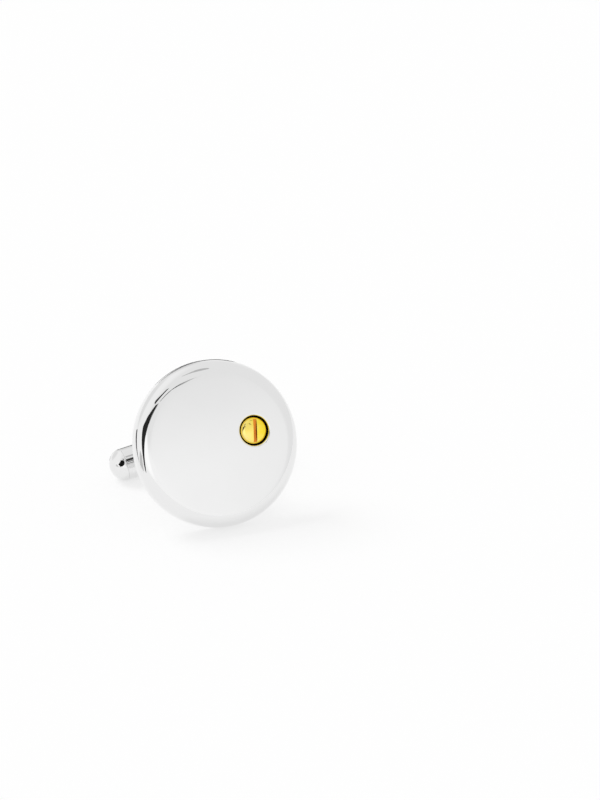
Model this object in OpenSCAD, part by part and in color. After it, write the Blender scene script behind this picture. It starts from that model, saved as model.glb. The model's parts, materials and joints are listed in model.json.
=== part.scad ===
// Cufflink with a round polished face, a slotted gold screw set off centre
// and a fork-and-toggle back that clicks at every quarter turn.
//
// Each piece is drawn square to the disc: x runs along the toggle, y along the
// pivot pin and z out of the face, with zero at the middle of the disc's back.
// standing() then sets the whole part down as it stands on a table, on the rim
// of the disc, the tip of the lower fork arm and one end of the toggle.

/* [Face disc] */
// Diameter of the round face disc
face_d = 20; // [17:0.5:24]
// Thickness of the disc
face_t = 3; // [2.6:0.1:4]
// Radius of the rounded shoulder round the front of the disc
shoulder_r = 1.8; // [0.6:0.1:2]
// Radius of the eased edge round the back of the disc
back_edge_r = 0.3; // [0.1:0.05:0.5]
// Depth of the pocket in the back that seats the foot
pocket_depth = 0.3; // [0.1:0.05:0.5]

/* [Gold screw] */
// Distance of the screw from the middle of the disc
screw_offset = 4.5; // [3:0.1:5.5]
// Bearing of the screw from the line of the toggle, in degrees
screw_bearing = 2.5; // [-180:0.5:180]
// Diameter of the screw's head
head_d = 3.3; // [2.6:0.1:3.8]
// Height of the screw's head
head_t = 1; // [0.8:0.05:1.3]
// Radius of the rounded edge of the head
head_edge_r = 0.35; // [0.1:0.05:0.45]
// How far the top of the head lies below the face
head_drop = 0.1; // [0.02:0.02:0.3]
// Gap between the head and its hole, all round
head_gap = 0.15; // [0.05:0.01:0.3]
// Width of the driver slot
slot_w = 0.42; // [0.3:0.02:0.7]
// Depth of the driver slot
slot_depth = 0.5; // [0.3:0.05:0.7]
// Bearing of the driver slot from the line of the toggle, in degrees
slot_bearing = 77.5; // [-180:0.5:180]
// Diameter of the screw's shank
shank_d = 1.6; // [1:0.1:2]
// Length of the shank below the head
shank_len = 0.9; // [0.5:0.1:1.1]
// Gap between the shank and its hole, all round and below its tip
shank_gap = 0.03; // [0.01:0.01:0.08]
// Chamfer at the mouth of the screw's hole
lip = 0.25; // [0.05:0.05:0.4]

/* [Foot] */
// Diameter of the foot that is soldered to the back of the disc
foot_d = 8; // [6:0.5:10]
// Thickness of the foot
foot_t = 0.9; // [0.7:0.1:1.4]
// Radius of the rounded outer edge of the foot
foot_edge_r = 0.25; // [0.1:0.05:0.35]
// Gap between the foot and the wall of its pocket
foot_gap = 0.05; // [0.02:0.01:0.1]

/* [Fork] */
// Distance from the back of the disc to the middle of the pivot pin
post_len = 13; // [12:0.5:16]
// Thickness of the fork's metal
arm_t = 0.7; // [0.5:0.05:0.9]
// Width of the round eye at the tip of an arm
arm_eye_w = 2.6; // [2.4:0.1:3.2]
// Width of an arm where it runs into its eye
arm_neck_w = 2.3; // [1.8:0.1:2.4]
// Width of an arm where it leaves the foot
arm_root_w = 3.8; // [3.2:0.1:5]
// Inner radius of the fork's bends
bend_r = 0.6; // [0.2:0.1:1]
// Gap between an arm and the side of the toggle
arm_gap = 0.08; // [0.05:0.01:0.2]

/* [Pivot pin] */
// Diameter of the pivot pin
pin_d = 1; // [0.8:0.05:1.2]
// Diameter of the riveted heads at the two ends of the pin
rivet_d = 1.7; // [1.4:0.1:2]
// Height of a riveted head
rivet_h = 0.12; // [0.06:0.02:0.16]
// Gap between the pin and the pieces that it is pressed into
press_gap = 0.01; // [0.005:0.005:0.02]
// Gap between the pin and the holes of the toggle that turns on it
running_gap = 0.03; // [0.02:0.01:0.06]

/* [Toggle] */
// Diameter of the toggle
toggle_d = 4; // [3.8:0.1:5]
// Length of the toggle over its two domed caps
toggle_len = 19.6; // [16:0.2:20.4]
// Wall of the toggle's tube
tube_wall = 0.4; // [0.3:0.05:0.45]
// Height of a domed cap above the end of the tube
dome_h = 1.7; // [1.5:0.05:1.85]
// Radius that turns the side of the toggle into the crown of a cap
dome_edge_r = 1.3; // [1:0.05:1.4]
// Chamfer at the seam between the tube and a cap
seam = 0.07; // [0.03:0.01:0.12]
// Length of the plug that holds a cap in the tube
plug_len = 1.4; // [0.8:0.1:2.5]
// Gap between a plug and the bore of the tube
plug_gap = 0.02; // [0.01:0.01:0.05]

/* [Click mechanism] */
// Width of the square cam across its flats
cam_side = 1.6; // [1.45:0.05:1.7]
// Width of the cam across its eased corners
cam_corners = 2.1; // [1.9:0.05:2.2]
// Length of the cam along the pin
cam_len = 1.9; // [1.2:0.1:2]
// Thickness of a leaf spring
leaf_t = 0.2; // [0.1:0.02:0.26]
// Width of a leaf spring
leaf_w = 1.6; // [1:0.1:1.8]
// Gap at the places where a leaf spring rests
leaf_gap = 0.02; // [0.01:0.01:0.04]
// Gap between the end of a leaf spring and a cap's plug
leaf_end_gap = 0.2; // [0.1:0.05:0.5]

/* [Hidden] */
$fn = 96;

// One overrun serves every cut that passes through a face
overrun = face_t / 10;

// Disc and screw
face_r = face_d / 2;
head_r = head_d / 2;
hole_r = head_r + head_gap;
hole_depth = head_drop + head_t;
shank_hole_r = shank_d / 2 + shank_gap;
shank_hole_depth = hole_depth + shank_len + shank_gap;

// Foot and fork
foot_r = foot_d / 2;
foot_back = pocket_depth - foot_t;
arm_in = toggle_d / 2 + arm_gap;
arm_out = arm_in + arm_t;
arm_tip_r = arm_eye_w / 2;
fork_end = -post_len - arm_tip_r;

// Toggle
toggle_r = toggle_d / 2;
bore_r = toggle_r - tube_wall;
tube_half = toggle_len / 2 - dome_h;
pin_r = pin_d / 2;
// The cap's outline is an edge arc and a crown arc that meet in line
edge_ring_r = toggle_r - dome_edge_r;
crown_r = (edge_ring_r ^ 2 + dome_h ^ 2 - dome_edge_r ^ 2) / (2 * (dome_h - dome_edge_r));
crown_drop = crown_r - dome_h;

// A leaf spring bows from the flat of the cam out to the wall of the bore
leaf_half = tube_half - plug_len - leaf_end_gap;
leaf_mid = cam_side / 2 + leaf_gap + leaf_t;
leaf_rise = sqrt(bore_r ^ 2 - (leaf_w / 2) ^ 2) - leaf_gap - leaf_mid;
leaf_bow_r = (leaf_half ^ 2 + leaf_rise ^ 2) / (2 * leaf_rise);

// How far each part that may touch the table reaches along a direction
function disc_reach(d) =
    let (flat = norm([d.x, d.y]))
    max(back_edge_r * d.z + (face_r - back_edge_r) * flat + back_edge_r,
        (face_t - shoulder_r) * d.z + (face_r - shoulder_r) * flat + shoulder_r);
function arm_reach(d) =
    arm_out * abs(d.y) - post_len * d.z + arm_tip_r * norm([d.x, d.z]);
function toggle_reach(d) =
    let (along = abs(d.x), across = norm([d.y, d.z]))
    -post_len * d.z + (across * crown_drop > along * edge_ring_r
        ? tube_half * along + edge_ring_r * across + dome_edge_r
        : (tube_half - crown_drop) * along + crown_r);
function back_reach(d) = max(arm_reach(d), toggle_reach(d));
function reach(d) = max(disc_reach(d), back_reach(d));

// The table's three directions, as the part sees them when it leans back and
// its toggle slopes
function table_x(lean, slope) =
    [cos(slope), -cos(lean) * sin(slope), -sin(lean) * sin(slope)];
function table_y(lean) = [0, sin(lean), -cos(lean)];
function table_z(lean, slope) =
    [sin(slope), cos(lean) * cos(slope), sin(lean) * cos(slope)];
function down(lean, slope) = -table_z(lean, slope);

// The disc leans back until its rim and its back touch the table together,
// and it rolls until the fork and one end of the toggle do
steep = 45;
halvings = 40;
passes = 25;
function find_lean(slope, low, high, n) =
    let (mid = (low + high) / 2, d = down(mid, slope))
    n == 0 ? mid
    : disc_reach(d) > back_reach(d) ? find_lean(slope, mid, high, n - 1)
    : find_lean(slope, low, mid, n - 1);
function find_slope(lean, low, high, n) =
    let (mid = (low + high) / 2, d = down(lean, mid))
    n == 0 ? mid
    : arm_reach(d) > toggle_reach(d) ? find_slope(lean, mid, high, n - 1)
    : find_slope(lean, low, mid, n - 1);
function settle(lean, slope, n) =
    n == 0 ? [lean, slope]
    : let (next = find_lean(slope, 0, 2 * steep, halvings))
      settle(next, find_slope(next, 0, steep, halvings), n - 1);

pose = settle(0, 0, passes);
lean = pose[0];
slope = pose[1];
east = table_x(lean, slope);
north = table_y(lean);
set_down = [(reach(-east) - reach(east)) / 2, (reach(-north) - reach(north)) / 2,
            reach(down(lean, slope))];

// Sets a piece down as the whole part stands on the table
module standing() {
    translate(set_down) rotate([90 - lean, -slope, 0]) children();
}

// Puts what is drawn at the middle of the toggle in its place
module at_pivot() {
    standing() translate([0, 0, -post_len]) children();
}

// A solid turned from an outline, with its axis along the toggle
module turned_on_toggle(side) {
    rotate([0, 90 * side, 0]) rotate_extrude() children();
}

// A solid turned from an outline, with its axis along the pivot pin
module turned_on_pin() {
    rotate([90, 0, 0]) rotate_extrude() children();
}

// Round disc with a rounded shoulder, a hole for the screw and a pocket for the foot
module face_disc() {
    color([0.88, 0.89, 0.9]) standing() difference() {
        rotate_extrude() disc_outline();
        screw_place() screw_hole();
        translate([0, 0, -overrun])
            cylinder(r = foot_r + foot_gap, h = pocket_depth + overrun);
    }
}

// Half of the disc's section
module disc_outline() {
    square([face_r - shoulder_r, face_t]);
    translate([0, back_edge_r])
        square([face_r, face_t - shoulder_r - back_edge_r]);
    square([face_r - back_edge_r, face_t - shoulder_r]);
    translate([face_r - shoulder_r, face_t - shoulder_r]) intersection() {
        circle(r = shoulder_r);
        square(shoulder_r);
    }
    translate([face_r - back_edge_r, back_edge_r]) circle(r = back_edge_r);
}

// Places the screw, with zero at the face
module screw_place() {
    rotate(screw_bearing) translate([screw_offset, 0, face_t]) children();
}

// The screw's stepped hole, with a chamfered mouth
module screw_hole() {
    translate([0, 0, -hole_depth]) cylinder(r = hole_r, h = hole_depth + overrun);
    translate([0, 0, -shank_hole_depth])
        cylinder(r = shank_hole_r, h = shank_hole_depth);
    translate([0, 0, -lip])
        cylinder(r1 = hole_r, r2 = hole_r + lip + overrun, h = lip + overrun);
}

// Gold screw with a slotted head and a plain shank
module gold_screw() {
    color([0.93, 0.74, 0.2]) standing() screw_place()
        translate([0, 0, -hole_depth]) difference() {
            union() {
                rotate_extrude() head_outline();
                translate([0, 0, -shank_len]) cylinder(r = shank_d / 2, h = shank_len + overrun);
            }
            rotate(slot_bearing - screw_bearing)
                translate([-head_r - overrun, -slot_w / 2, head_t - slot_depth])
                    cube([head_d + 2 * overrun, slot_w, slot_depth + overrun]);
        }
}

// Half of the section of the screw's head
module head_outline() {
    square([head_r - head_edge_r, head_t]);
    square([head_r, head_t - head_edge_r]);
    translate([head_r - head_edge_r, head_t - head_edge_r]) circle(r = head_edge_r);
}

// Round foot that joins the fork to the disc
module foot() {
    color([0.8, 0.81, 0.83]) standing() translate([0, 0, foot_back])
        rotate_extrude() {
            square([foot_r - foot_edge_r, foot_t]);
            translate([0, foot_edge_r]) square([foot_r, foot_t - foot_edge_r]);
            translate([foot_r - foot_edge_r, foot_edge_r]) circle(r = foot_edge_r);
        }
}

// One strip bent to a U, whose two arms taper to rounded tips round the pin
module fork() {
    color([0.84, 0.85, 0.87]) standing() difference() {
        intersection() {
            rotate([90, 0, 90])
                linear_extrude(height = arm_root_w + 2 * overrun, center = true)
                    fork_bend();
            arm_sides();
        }
        translate([0, 0, -post_len]) rotate([90, 0, 0])
            cylinder(r = pin_r + press_gap, h = 2 * (arm_out + overrun), center = true);
    }
}

// The fork seen from its end, along the toggle
module fork_bend() {
    difference() {
        rounded_channel(arm_out, foot_back, bend_r + arm_t);
        rounded_channel(arm_in, foot_back - arm_t, bend_r);
    }
}

// A channel that is open at the fork's end and has two round corners at its top
module rounded_channel(half, top, corner_r) {
    depth = top - fork_end + overrun;
    translate([-half, top - depth]) square([2 * half, depth - corner_r]);
    translate([corner_r - half, top - depth]) square([2 * (half - corner_r), depth]);
    for (side = [-1, 1])
        translate([side * (half - corner_r), top - corner_r]) circle(r = corner_r);
}

// The outline of both arms from their flat side, as one block
module arm_sides() {
    block = 2 * (arm_out + overrun);
    rotate([90, 0, 0]) linear_extrude(height = block, center = true) polygon([
        [-arm_root_w / 2, foot_back], [arm_root_w / 2, foot_back],
        [arm_neck_w / 2, -post_len], [-arm_neck_w / 2, -post_len]]);
    translate([0, 0, -post_len]) rotate([90, 0, 0])
        cylinder(r = arm_tip_r, h = block, center = true);
}

// Pin that is riveted over at both ends
module pivot_pin() {
    rivet_r = rivet_d / 2;
    ball_r = (rivet_r ^ 2 + rivet_h ^ 2) / (2 * rivet_h);
    color([0.78, 0.79, 0.81]) at_pivot() {
        turned_on_pin() {
            translate([0, -arm_out]) square([pin_r, 2 * arm_out]);
            for (end = [0, 1]) mirror([0, end]) intersection() {
                translate([0, arm_out]) square([rivet_r, rivet_h]);
                translate([0, arm_out + rivet_h - ball_r]) circle(r = ball_r);
            }
        }
    }
}

// Square cam that is fixed on the pin between the two leaf springs
module detent_cam() {
    color([0.6, 0.6, 0.62]) at_pivot() difference() {
        intersection() {
            cube([cam_side, cam_len, cam_side], center = true);
            rotate([90, 0, 0]) cylinder(d = cam_corners, h = cam_len + overrun, center = true);
        }
        rotate([90, 0, 0])
            cylinder(r = pin_r + press_gap, h = cam_len + overrun, center = true);
    }
}

// Tube of the toggle, with a cross hole through which the pin passes
module toggle_tube() {
    color([0.88, 0.89, 0.9]) at_pivot() difference() {
        turned_on_toggle(1) polygon([
            [bore_r, -tube_half], [toggle_r - seam, -tube_half],
            [toggle_r, seam - tube_half], [toggle_r, tube_half - seam],
            [toggle_r - seam, tube_half], [bore_r, tube_half]]);
        rotate([90, 0, 0])
            cylinder(r = pin_r + running_gap, h = toggle_d + overrun, center = true);
    }
}

// Domed cap whose plug is pressed into the end of the tube
module end_cap(side) {
    color([0.9, 0.91, 0.92]) at_pivot() turned_on_toggle(side)
        translate([0, tube_half]) difference() {
            union() {
                dome_outline();
                translate([0, -plug_len]) square([bore_r - plug_gap, plug_len]);
            }
            translate([toggle_r, 0]) rotate(45)
                square([2 * seam, sqrt(2) * seam], center = true);
        }
}

// Half of the section of a cap's dome
module dome_outline() {
    wedge = toggle_len / edge_ring_r;
    intersection() {
        square([toggle_r, dome_h]);
        union() {
            translate([edge_ring_r, 0]) circle(r = dome_edge_r);
            intersection() {
                translate([0, -crown_drop]) circle(r = crown_r);
                polygon([[0, -crown_drop], [edge_ring_r * wedge, crown_drop * (wedge - 1)],
                         [0, toggle_len]]);
            }
        }
    }
}

module end_cap_left() { end_cap(-1); }
module end_cap_right() { end_cap(1); }

// Bowed leaf whose middle bears on the cam and whose ends bear on the tube
module leaf_spring(side) {
    bow_middle = leaf_mid + leaf_bow_r;
    color([0.5, 0.52, 0.56]) at_pivot() mirror([0, 0, side]) intersection() {
        translate([0, 0, bow_middle]) rotate([90, 0, 0]) difference() {
            cylinder(r = leaf_bow_r + leaf_t, h = leaf_w, center = true);
            cylinder(r = leaf_bow_r, h = leaf_w + overrun, center = true);
        }
        translate([-leaf_half, -leaf_w, 0])
            cube([2 * leaf_half, 2 * leaf_w, toggle_r]);
    }
}

module leaf_spring_front() { leaf_spring(0); }
module leaf_spring_back() { leaf_spring(1); }

face_disc();
gold_screw();
foot();
fork();
pivot_pin();
detent_cam();
toggle_tube();
end_cap_left();
end_cap_right();
leaf_spring_front();
leaf_spring_back();
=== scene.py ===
"""Dresses the cufflink: its pieces, their metals, and a plain white studio."""
import json
from math import atan2, cos, degrees, hypot, pi, radians, sin, sqrt, tau

import bpy
from bpy.props import FloatProperty, FloatVectorProperty, PointerProperty
from mathutils import Matrix, Vector


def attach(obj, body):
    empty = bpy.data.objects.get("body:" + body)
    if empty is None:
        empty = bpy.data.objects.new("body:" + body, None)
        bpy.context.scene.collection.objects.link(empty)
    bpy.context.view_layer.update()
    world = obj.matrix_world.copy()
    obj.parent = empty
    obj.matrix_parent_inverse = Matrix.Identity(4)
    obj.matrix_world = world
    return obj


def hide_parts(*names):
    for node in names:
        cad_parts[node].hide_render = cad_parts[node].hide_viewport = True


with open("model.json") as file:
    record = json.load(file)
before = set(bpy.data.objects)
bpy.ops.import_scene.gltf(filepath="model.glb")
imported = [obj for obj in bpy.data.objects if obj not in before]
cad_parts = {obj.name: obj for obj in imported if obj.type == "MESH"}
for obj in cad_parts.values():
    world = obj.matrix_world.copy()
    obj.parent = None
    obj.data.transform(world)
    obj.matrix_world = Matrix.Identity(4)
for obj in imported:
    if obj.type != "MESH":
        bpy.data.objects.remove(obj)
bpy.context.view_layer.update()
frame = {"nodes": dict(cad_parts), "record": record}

bl_info = {
    "name": "Cufflink",
    "version": (1, 0, 0),
    "blender": (4, 5, 0),
    "location": "View3D > Sidebar > Cufflink",
    "description": "Builds a round cufflink with a gold screw and a swivelling toggle",
    "category": "Object",
}

MM = 0.001

# The part's own frame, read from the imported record: x runs along the toggle, y along the
# pivot pin and z out of the face, from the middle of the disc's back
RECORD = frame["record"]
SWIVEL = RECORD["behaviour"]["joints"][0]
FACE_MOUNT = next(m for m in RECORD["mounts"] if m["name"] == "front_face")
PIN_LINE = Vector(SWIVEL["axis"]).normalized()
BAR_LINE = PIN_LINE.cross(Vector(FACE_MOUNT["axis"])).normalized()
OUTWARD = BAR_LINE.cross(PIN_LINE)
POST_LENGTH = 13 * MM
DISC_BACK = Vector(SWIVEL["pos_m"]) + POST_LENGTH * OUTWARD
TURN = Matrix((BAR_LINE, PIN_LINE, OUTWARD)).transposed().to_4x4()
STANDING = Matrix.Translation(DISC_BACK) @ TURN
AT_PIVOT = Matrix.Translation((0, 0, -POST_LENGTH))
ALONG_BAR = Matrix.Rotation(radians(90), 4, "Y")
ALONG_PIN = Matrix.Rotation(radians(-90), 4, "X")

# How finely round shapes are drawn: steps of a full turn, of a bend and of the face's crown,
# and degrees of a step in an arc. Points closer than the weld are merged
TURNS, SMALL_TURNS, SAW_TURNS, CROSS_DRILL_TURNS, DRILL_TURNS = 192, 96, 128, 64, 48
BEND_STEPS, CROWN_STEPS = 10, 10
ARC_STEP = 5
WELD = 2e-7
# Edges that turn more than this stay sharp in the shading, or are rounded where a piece is eased
SHARP_TURN, EASED_TURN = radians(35), radians(40)

# Small details that the panel leaves alone. Each EDGE is a chamfer or the radius of an edge.
# A flat ends this close beside a rounded edge
BESIDE = 0.05 * MM
# The pocket in the disc, and the foot that is soldered in it
POCKET_GAP, POCKET_DEPTH, POCKET_EDGE = 0.05 * MM, 0.3 * MM, 0.03 * MM
FOOT_HEIGHT, FOOT_EDGE = 0.6 * MM, 0.25 * MM
# The screw's hole: its seat under the head, the radius and depth of the hole for the shank,
# and how far the bright plate reaches down the wall before the painted shade. The brim of its
# lip sinks by this share of the crown's slope across it
SEAT_GAP, SHANK_HOLE, SHANK_HOLE_DEPTH, POLISHED_WALL = 0.1 * MM, 0.83 * MM, 0.93 * MM, 0.2 * MM
BRIM_SINK = 0.45
# The hole's cutter stands out of the face, and follows its slope from a little under the lip
CUTTER_TOP, CUTTER_SHEAR = 0.3 * MM, 0.1 * MM
# The screw's shank, with where its side ends, and the screw's edges
SHANK, SHANK_DEPTH, SHANK_SIDE, SHANK_EDGE = 0.8 * MM, 0.9 * MM, 0.8 * MM, 0.1 * MM
HEAD_EDGE, SLOT_EDGE = 0.05 * MM, 0.02 * MM
# Slopes in degrees at which the head's rounded edge and its bevel end and its crown starts,
# and the radii of the edge and of the break before the crown
EDGE_END, BEVEL_END, CROWN_START = 66, 20, 6
EDGE_CURVE, BREAK_CURVE = 0.06 * MM, 0.3 * MM
# How near to its place, and how far outwards or sideways, a face is for it to be picked
MOUTH_REACH, BRIM_REACH, SLOT_REACH = 0.02 * MM, 0.04 * MM, 0.03 * MM
OUTWARD_LIMIT, SIDEWAYS_LIMIT = 0.1, 0.6
# The fork, and the spare metal of its strip that the outline takes away
ARM_GAP, EYE_PLAY, FORK_EDGE = 0.08 * MM, 0.01 * MM, 0.07 * MM
SPARE_WIDTH, SPARE_LENGTH, SPARE_TOP = 0.4 * MM, 0.3 * MM, 0.1 * MM
# The pin's riveted heads, whose middle rises a little and whose underside has a draft
RIVET_HEIGHT, RIVET_EDGE, RIVET_RISE, RIVET_DRAFT = 0.12 * MM, 0.1 * MM, 0.02 * MM, 0.01 * MM
# The toggle's tube and the plugs of its caps
TUBE_PLAY, BORE_EDGE = 0.03 * MM, 0.02 * MM
PLUG_GAP, PLUG_DEPTH, PLUG_SIDE, PLUG_EDGE = 0.02 * MM, 1.4 * MM, 1.3 * MM, 0.1 * MM


def linear(code):
    """An sRGB hex colour as the linear values that shaders take."""
    channels = [int(code[i:i + 2], 16) / 255 for i in (1, 3, 5)]
    return [c / 12.92 if c <= 0.04045 else ((c + 0.055) / 1.055) ** 2.4 for c in channels]


def length(name, description, default):
    """A size property in metres, from a default in millimetres."""
    return FloatProperty(
        name=name, description=description, default=default * MM, min=0, unit="LENGTH")


def tint(name, description, code):
    """A colour property."""
    return FloatVectorProperty(
        name=name, description=description, default=linear(code), min=0, max=1, subtype="COLOR")


class CufflinkSizes(bpy.types.PropertyGroup):
    """Sizes of the visible forms, which follow the part's own."""

    face_width: length("Face", "Diameter of the round face disc", 20)
    face_depth: length("Face thickness", "Thickness of the disc at its shoulder", 3)
    shoulder: length("Shoulder", "Radius of the rounded shoulder of the disc", 1.8)
    back_edge: length("Back edge", "Radius of the eased edge round the back", 0.3)
    crown: FloatProperty(
        name="Crown", description="Slope of the polished face where it meets the shoulder",
        default=radians(2.2), min=0, max=radians(5), unit="ROTATION")
    screw_offset: length("Screw offset", "Distance of the screw from the middle of the disc", 4.5)
    screw_bearing: FloatProperty(
        name="Screw bearing", description="Bearing of the screw from the line of the toggle",
        default=radians(2.5), unit="ROTATION")
    head_width: length("Screw head", "Diameter of the head of the gold screw", 3.3)
    head_bevel: length("Screw bevel", "Width of the rounded bevel round the head", 0.5)
    head_depth: length("Screw depth", "Height of the head over its seat", 1)
    hole_width: length("Screw hole", "Diameter of the hole round the head", 3.6)
    lip: length("Hole lip", "Radius of the polished lip of the hole", 0.25)
    slot_width: length("Slot", "Width of the driver slot", 0.42)
    slot_depth: length("Slot depth", "Depth of the driver slot", 0.5)
    slot_bearing: FloatProperty(
        name="Slot bearing", description="Bearing of the driver slot from the line of the toggle",
        default=radians(75), unit="ROTATION")
    slot_aside: length("Slot aside", "How far the slot runs beside the middle of the head", 0.1)
    saw_radius: length("Slot saw", "Radius of the saw, which leaves the slot's floor hollow", 3.4)
    foot_width: length("Foot", "Diameter of the foot on the back of the disc", 8)
    arm_thickness: length("Fork thickness", "Thickness of the fork's metal", 0.7)
    arm_root: length("Fork root", "Width of a fork arm where it leaves the foot", 3.8)
    arm_neck: length("Fork neck", "Width of a fork arm where it meets its eye", 2.3)
    arm_eye: length("Fork eye", "Width of the round eye at the tip of an arm", 2.6)
    arm_bend: length("Fork bend", "Inner radius of the fork's bends", 0.6)
    pin_width: length("Pin", "Diameter of the pivot pin", 1)
    rivet_width: length("Rivet", "Diameter of the riveted heads of the pin", 1.7)
    toggle_width: length("Toggle", "Diameter of the toggle", 4)
    toggle_length: length("Toggle length", "Length of the toggle over its caps", 19.6)
    tube_wall: length("Tube wall", "Wall of the toggle's tube", 0.4)
    dome: length("Dome", "Height of a domed cap above the tube", 1.7)
    dome_edge: length("Dome edge", "Radius that turns the side of a cap into its crown", 1.3)
    seam: length("Seam", "Chamfer at the seam between the tube and a cap", 0.07)


class CufflinkFinishes(bpy.types.PropertyGroup):
    """Colours of the metals, of the painted shade in the screw's hole and slot, and of the studio.
    """

    rhodium: tint("Rhodium plate", "Colour of the mirror polished plate", "#EEEEEE")
    gold: tint("Gold plate", "Colour of the plated screw", "#FFEB6E")
    # Painted shade: darker, deeper orange copies of the gold for the shade in the slot, the walls
    # darker still
    slot_floor_painted_shade: tint("Slot", "Colour of the gold on the floor of the driver slot", "#FF9E3C")
    slot_wall_painted_shade: tint("Slot walls", "Colour of the gold on the walls of the driver slot", "#B04A10")
    # Painted shade: a near black colour that stands in for the shade down in the screw's hole
    painted_recess_shade: tint("Recess", "Colour of the dull metal down in the screw's hole", "#17110C")
    steel: tint("Bright steel", "Colour of the turned pin and the cam", "#C9C9CB")
    spring: tint("Spring steel", "Colour of the tempered leaf springs", "#9DA3AC")
    floor: tint("Floor", "Colour of the floor", "#F4F4F4")


def deselect():
    """Leaves edit mode and clears the selection."""
    if bpy.context.object and bpy.context.object.mode != "OBJECT":
        bpy.ops.object.mode_set(mode="OBJECT")
    bpy.ops.object.select_all(action="DESELECT")


def activate(piece):
    """Selects one piece and nothing else."""
    deselect()
    piece.select_set(True)
    bpy.context.view_layer.objects.active = piece


def named(name):
    """Names the new primitive."""
    piece = bpy.context.object
    piece.name = piece.data.name = name
    return piece


def arc(centre, radius, first, last, step=ARC_STEP):
    """Points of a section on an arc between two angles in degrees."""
    count = max(1, round(abs(last - first) / step))
    angles = [radians(first + (last - first) * i / count) for i in range(count + 1)]
    return [(centre[0] + radius * cos(a), centre[1] + radius * sin(a)) for a in angles]


def crowned(centre, edge, lean, step):
    """A rounded edge round the given centre, and the shallow crown that it carries to the axis."""
    side = 90 - degrees(lean)
    rim = (centre[0] + edge * sin(lean), centre[1] + edge * cos(lean))
    crown = rim[0] / sin(lean)
    points = arc(centre, edge, 0, side, step)
    crown_step = degrees(lean) / CROWN_STEPS
    points += arc((0, rim[1] - crown * cos(lean)), crown, side, 90, crown_step)[1:]
    points[-1] = (0, points[-1][1])
    return points


def extruded(step):
    """Extrudes what is selected."""
    bpy.ops.mesh.extrude_region_move(TRANSFORM_OT_translate={"value": step})


def closed(piece):
    """Merges doubled points, turns the faces outwards and leaves edit mode."""
    bpy.ops.mesh.select_all(action="SELECT")
    bpy.ops.mesh.remove_doubles(threshold=WELD)
    bpy.ops.mesh.normals_make_consistent(inside=False)
    bpy.ops.object.mode_set(mode="OBJECT")
    return piece


def turned(name, section, turns=TURNS):
    """Draws a half section point by point and spins it about the z axis."""
    deselect()
    bpy.ops.mesh.primitive_plane_add(size=MM)
    piece = named(name)
    bpy.ops.object.mode_set(mode="EDIT")
    bpy.ops.mesh.merge(type="CENTER")
    here = section[0]
    bpy.ops.transform.translate(value=(here[0], 0, here[1]))
    for point in section[1:]:
        extruded((point[0] - here[0], 0, point[1] - here[1]))
        here = point
    bpy.ops.mesh.select_all(action="SELECT")
    bpy.ops.mesh.spin(steps=turns, angle=tau, center=(0, 0, 0), axis=(0, 0, 1))
    return closed(piece)


def moved(piece, matrix):
    """Moves a piece and applies its place to its mesh."""
    activate(piece)
    piece.matrix_world = matrix @ piece.matrix_world
    bpy.ops.object.transform_apply()
    return piece


def boolean(piece, tool, operation):
    """Applies a boolean with a tool piece, which is used up."""
    activate(piece)
    modifier = piece.modifiers.new(operation.title(), "BOOLEAN")
    modifier.operation = operation
    modifier.solver = "EXACT"
    modifier.object = tool
    bpy.ops.object.modifier_apply(modifier=modifier.name)
    mesh = tool.data
    bpy.data.objects.remove(tool)
    bpy.data.meshes.remove(mesh)
    return piece


def eased(piece, radius, segments):
    """Rounds every edge that turns more than a little."""
    activate(piece)
    modifier = piece.modifiers.new("Eased edges", "BEVEL")
    modifier.width = radius
    modifier.segments = segments
    modifier.limit_method = "ANGLE"
    modifier.angle_limit = EASED_TURN
    bpy.ops.object.modifier_apply(modifier=modifier.name)
    return piece


def shaded(piece):
    """Shades a piece smooth, with its flats kept flat and its sharp edges sharp."""
    activate(piece)
    bpy.ops.object.shade_smooth_by_angle(angle=SHARP_TURN)
    modifier = piece.modifiers.new("Flat faces lead", "WEIGHTED_NORMAL")
    modifier.keep_sharp = True
    modifier.weight = 100
    bpy.ops.object.modifier_apply(modifier=modifier.name)
    return piece


def dressed(piece, within, material, slot, body, *nodes):
    """Stands a finished piece in its place, gives it its metal and body, and hides the CAD nodes
    that it stands for.
    """
    moved(piece, STANDING @ within)
    shaded(piece)
    piece.data.materials.clear()
    piece.data.materials.append(material)
    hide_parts(*nodes)
    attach(piece, body)


def carried(node, material):
    """Gives its metal to a CAD node that keeps its shape."""
    materials = frame["nodes"][node].data.materials
    materials.clear()
    materials.append(material)


def repainted(piece, place, material, chosen):
    """Gives another metal to faces chosen by place and normal in the piece's own frame."""
    piece.data.materials.append(material)
    back = place.inverted()
    turn = back.to_3x3()
    for face in piece.data.polygons:
        if chosen(back @ face.center, turn @ face.normal):
            face.material_index = len(piece.data.materials) - 1


def add(material, kind, values=None, links=None, **settings):
    """Adds a node to a material with its settings, its values and its links."""
    tree = material.node_tree
    node = tree.nodes.new(kind)
    for name, value in settings.items():
        setattr(node, name, value)
    for socket, value in (values or {}).items():
        node.inputs[socket].default_value = value
    for socket, source in (links or {}).items():
        tree.links.new(source, node.inputs[socket])
    return node


def per(size):
    """Scale of a pattern whose features are this many millimetres apart."""
    return 1 / (size * MM)


def blank(name):
    """A new material with no nodes."""
    material = bpy.data.materials.new(name)
    material.use_nodes = True
    material.node_tree.nodes.clear()
    return material


def own_place(material, place):
    """Object coordinates turned to a piece's own frame."""
    back = place.inverted()
    coordinates = add(material, "ShaderNodeTexCoord")
    return add(material, "ShaderNodeMapping",
               {"Location": back.translation, "Rotation": back.to_euler()},
               {"Vector": coordinates.outputs["Object"]}).outputs["Vector"]


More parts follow.
